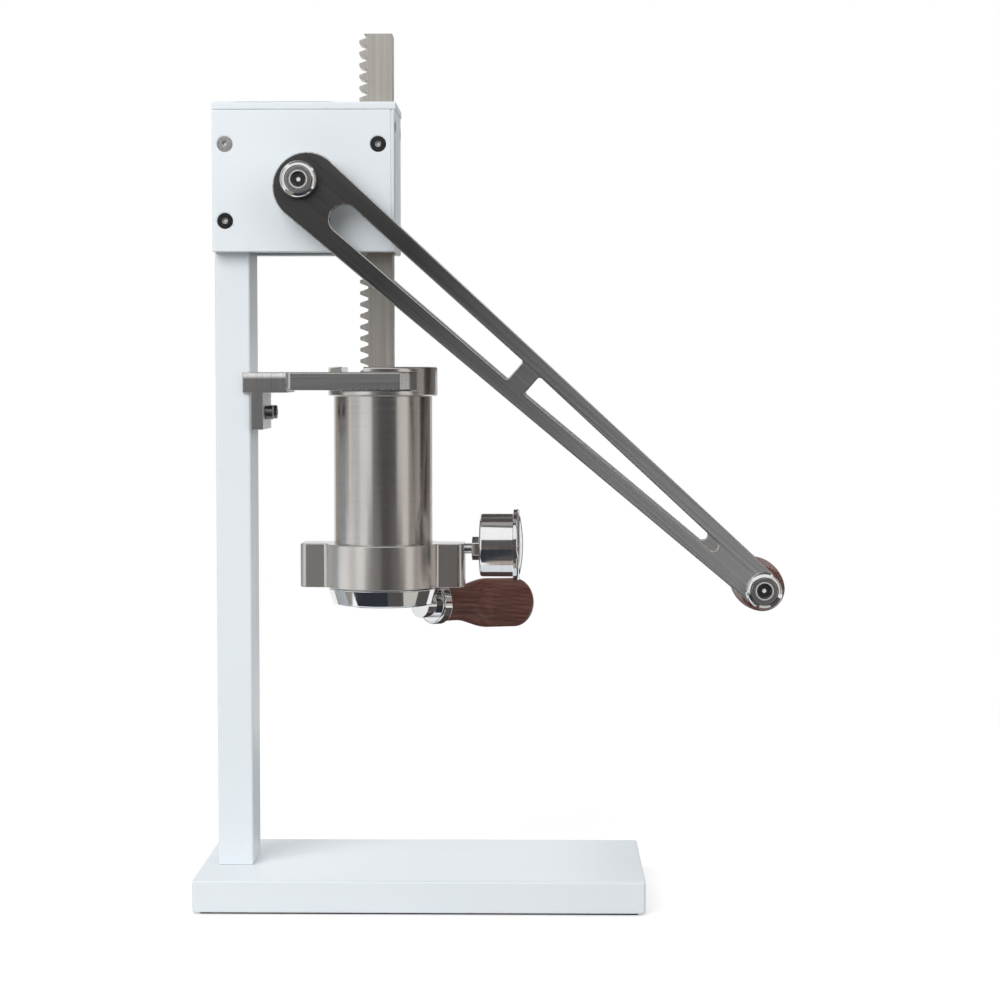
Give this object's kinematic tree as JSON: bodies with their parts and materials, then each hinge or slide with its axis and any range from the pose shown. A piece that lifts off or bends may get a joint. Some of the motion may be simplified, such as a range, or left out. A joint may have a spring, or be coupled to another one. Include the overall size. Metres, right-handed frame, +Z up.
{
  "type": "lever espresso machine",
  "caption": "Free-standing lever espresso press: a long slotted lever turns a pinion that drives a toothed rack and piston down a brewing cylinder on a post and base.",
  "frame": {"origin": "centre of the base's underside, where it rests on the worktop", "axes": "+Z up, +X from the post towards the gauge and the lever's grip, Y across the machine with the portafilter's handle on the +Y side"},
  "size_m": [0.3645, 0.1549, 0.541],
  "materials": {
    "white_paint": "smooth satin powder coat",
    "lever_steel": "stainless plate brushed along the lever",
    "arm_steel": "dark brushed steel with bright edges",
    "cylinder_steel": "turned and polished stainless",
    "rack_steel": "ground stainless",
    "plain_steel": "machined steel",
    "screw_steel": "dark machined screw steel",
    "polished_steel": "polished stainless",
    "chrome": "mirror chrome",
    "bronze": "turned bearing bronze",
    "black_rubber": "matte rubber",
    "walnut": "satin oiled walnut with lengthwise grain",
    "dial_white": "matte printed dial",
    "needle_black": "matte black",
    "clear_glass": "clear domed glass"
  },
  "bodies": {
    "frame": {"base_plate": "white_paint", "base_mat": "black_rubber", "base_screws": "screw_steel", "post": "white_paint", "post_foot_plug": "plain_steel", "head_side_front": "white_paint", "head_side_rear": "white_paint", "head_top_plate": "white_paint", "head_front_cover": "white_paint", "head_side_screws": "screw_steel", "head_cover_screws": "screw_steel", "shaft_bushes": "bronze", "rack_guides": "bronze", "clamp_block": "arm_steel", "clamp_screws": "screw_steel", "fork_arm": "arm_steel", "arm_screws": "screw_steel", "cylinder_collar": "cylinder_steel", "cylinder_tube": "cylinder_steel", "group_flange": "cylinder_steel", "group_gasket": "black_rubber", "shower_screen": "polished_steel", "gauge_fitting": "chrome", "gauge_case": "chrome", "gauge_movement": "bronze", "gauge_dial": "dial_white", "gauge_glass": "clear_glass", "gauge_bezel": "chrome"},
    "lever": {"pinion_shaft": "plain_steel", "pinion_gear": "plain_steel", "pinion_key": "plain_steel", "lever_spacers": "chrome", "lever_plate_front": "lever_steel", "lever_plate_rear": "lever_steel", "lever_caps": "chrome", "lever_bolts": "polished_steel", "grip_tie_tube": "plain_steel", "grip_sleeve": "walnut"},
    "rack": {"rack_bar": "rack_steel", "piston_rod": "polished_steel", "piston": "polished_steel", "piston_seals": "black_rubber", "piston_screw": "screw_steel"},
    "needle": {"gauge_needle": "needle_black"},
    "portafilter": {"portafilter_ring": "chrome", "basket_spring": "plain_steel", "filter_basket": "polished_steel", "handle_ferrule": "chrome", "handle_stud": "plain_steel", "wooden_handle": "walnut"}
  },
  "joints": [
    {"name": "lever_swing", "type": "hinge", "parent": "frame", "child": "lever", "pos_m": [-0.07231, 0, 0.4475], "axis": [0, 1, 0], "range_deg": [-95, 18]},
    {"name": "rack_slide", "type": "slide", "parent": "frame", "child": "rack", "axis": [0, 0, 1], "range_m": [-0.01135, 0.0598]},
    {"name": "portafilter_twist", "type": "hinge", "parent": "frame", "child": "portafilter", "pos_m": [-0.025, 0, 0.19], "axis": [0, 0, 1], "range_deg": [-45, 0]},
    {"name": "needle_swing", "type": "hinge", "parent": "frame", "child": "needle", "pos_m": [0.05599, -0.00141, 0.2222], "axis": [-0.9998, 0.0175, 0], "range_deg": [0, 270], "stiffness_Nm_per_rad": 0.0005}
  ],
  "couplings": [
    {"joint": "rack_slide", "follows": "lever_swing", "m_per_rad": -0.036}
  ]
}
